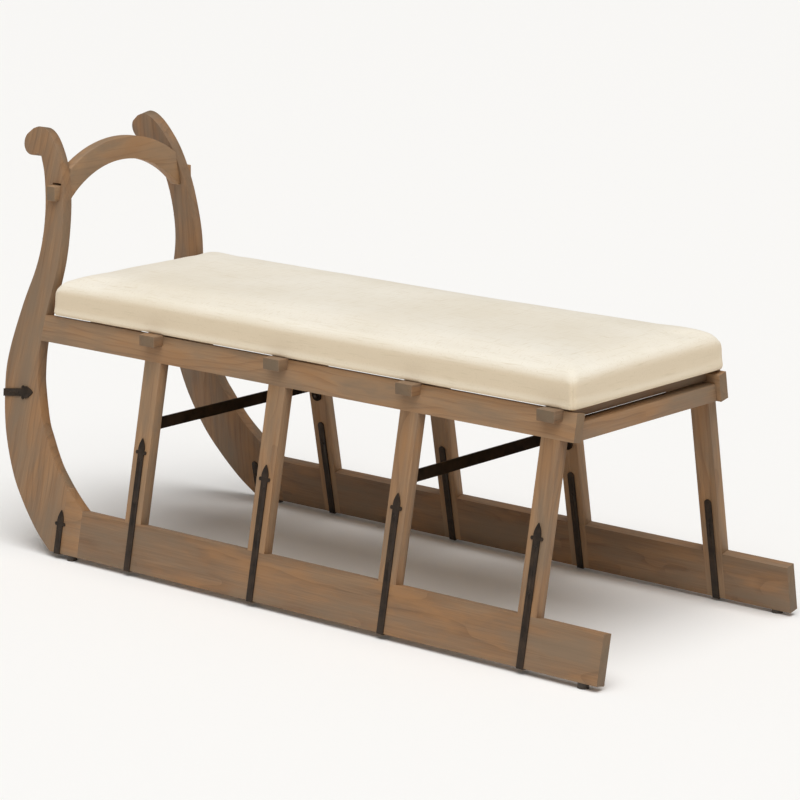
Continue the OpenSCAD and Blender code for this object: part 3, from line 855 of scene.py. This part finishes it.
    def _corner_seams(
        self, pad: bpy.types.Object, low: Vector, high: Vector, linen: bpy.types.Material
    ) -> None:
        """Sew the four upright corner seams as fine ridges on the cover.

        Args:
            pad: the finished cushion.
            low: the lowest corner of the space.
            high: the highest corner of the space.
            linen: the cover's material.
        """
        tree = BVHTree.FromObject(pad, bpy.context.evaluated_depsgraph_get())
        centre = (low + high) / 2
        well_outside = 50 * MM
        for sx, end in ((-1, "head"), (1, "tail")):
            for sy, side in ((-1, "left"), (1, "right")):
                corner_x = centre.x + sx * (high.x - low.x) / 2
                corner_y = centre.y + sy * (high.y - low.y) / 2
                aim = Vector((-sx, -sy, 0)).normalized()
                path = []
                for k in range(self.seam_rings):
                    z = low.z + self.seam_low + self.seam_h * k / (self.seam_rings - 1)
                    start = Vector((corner_x, corner_y, z)) - aim * well_outside
                    hit = tree.ray_cast(start, aim)[0]
                    if hit:
                        path.append(hit)
                self._seam(f"cushion_seam_{end}_{side}", path, linen)

    def _seam(self, name: str, path: Sequence[Vector], linen: bpy.types.Material) -> None:
        """Model one seam: a fine tube along the path, with tapered ends.

        Args:
            name: the piece's name.
            path: points on the cover, from the bottom up.
            linen: the cover's material.
        """
        deselect()
        rings = len(path)
        # A straight tube, whose rings are then moved to the points of the path
        tube_l = 1.0
        bpy.ops.mesh.primitive_cylinder_add(
            vertices=self.seam_sides, radius=self.seam_r, depth=tube_l, location=path[0]
        )
        seam = bpy.context.object
        seam.name = name
        place_in_mesh(seam)
        shape(seam, "edges", lambda e: abs(e.verts[0].co.z - e.verts[1].co.z) > tube_l / 2)
        bpy.ops.mesh.subdivide(number_cuts=rings - 2)
        bpy.ops.object.mode_set(mode="OBJECT")
        bottom = path[0].z - tube_l / 2
        for vertex in seam.data.vertices:
            k = min(round((vertex.co.z - bottom) * (rings - 1)), rings - 1)
            taper = self.seam_taper if k in (0, rings - 1) else 1.0
            across = Vector((vertex.co.x - path[0].x, vertex.co.y - path[0].y, 0)) * taper
            vertex.co = path[k] + across
        activate(seam)
        bpy.ops.object.shade_smooth()
        seam.data.materials.append(linen)
        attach(seam, "root")
        LOG.info("%s: %d rings", name, rings)


# ---------------------------------------------------------------- studio


@dataclass(frozen=True)
class SoftSun:
    """One large soft light, even over the whole floor.

    It stands in the direction towards. Its strength is in watts per square metre. Its
    spread is its apparent size in degrees, and a larger one gives softer shadows.
    """

    name: str
    towards: tuple[float, float, float]
    strength: float
    spread: float

    def build(self) -> None:
        """Add the light to the scene."""
        deselect()
        bpy.ops.object.light_add(type="SUN")
        light = bpy.context.object
        light.name = self.name
        light.data.energy = self.strength
        light.data.angle = math.radians(self.spread)
        light.rotation_euler = Vector(self.towards).to_track_quat("Z", "Y").to_euler()


@dataclass
class Studio:
    """Plain pale floor, soft light, and the camera."""

    azimuth: float = 39.494
    elevation: float = 12.8
    roll: float = 0.441
    lens: float = 147.81
    place: tuple[float, float, float] = (3.7924, -4.5223, 1.6761)
    floor_size: float = 60.0
    floor_colour: str = "#f7f6f4"
    floor_grit_mm: float = 25.0
    suns: Sequence[SoftSun] = (
        SoftSun("key", (0.5, -0.45, 2.1), 2.6, 60.0),
        SoftSun("fill", (0.9, -1.5, 0.8), 0.3, 60.0),
    )
    sky_colour: tuple[float, float, float, float] = (1.0, 0.99, 0.97, 1.0)
    sky_strength: float = 0.22

    def build(self) -> None:
        """Set up the floor, the lights, the world and the camera."""
        self._camera()
        self._floor()
        for sun in self.suns:
            sun.build()
        self._world()
        bpy.context.scene.view_settings.view_transform = "Standard"

    def _camera(self) -> None:
        """Place the camera, which looks at the bench from its tail and its left side."""
        deselect()
        turn = Euler((math.radians(90 - self.elevation), 0, math.radians(self.azimuth)))
        rolled = turn.to_matrix() @ Matrix.Rotation(math.radians(self.roll), 3, "Z")
        bpy.ops.object.camera_add(location=self.place, rotation=rolled.to_euler())
        camera = bpy.context.object
        camera.data.lens = self.lens
        camera.data.sensor_width = 36.0
        camera.data.clip_end = 100.0
        bpy.context.scene.camera = camera

    def _floor(self) -> None:
        """Lay the pale floor."""
        deselect()
        bpy.ops.mesh.primitive_plane_add(size=self.floor_size)
        floor = bpy.context.object
        floor.name = "floor"
        g = Graph("pale_floor")
        place = g.add("TexCoord").outputs["Object"]
        grit = g.add("TexNoise", {"Vector": place, "Scale": 1000 / self.floor_grit_mm})
        rough = g.add("MapRange", {0: grit.outputs["Fac"], 3: 0.85, 4: 0.95})
        shader = g.add(
            "BsdfPrincipled", {"Base Color": linear(self.floor_colour), "Roughness": rough.outputs[0]}
        )
        floor.data.materials.append(g.finish(shader))

    def _world(self) -> None:
        """Light everything evenly from a nearly white sky."""
        world = bpy.data.worlds.new("studio")
        world.use_nodes = True
        sky = world.node_tree.nodes["Background"]
        sky.inputs[0].default_value = self.sky_colour
        sky.inputs[1].default_value = self.sky_strength
        bpy.context.scene.world = world


def main() -> None:
    """Dress the hard parts, sew the cushion and set up the studio."""
    logging.basicConfig(level=logging.INFO, format="%(name)s: %(message)s")
    Studio().build()
    HardParts().dress(frame["nodes"])
    Cushion().build()


if __name__ == "__main__":
    main()
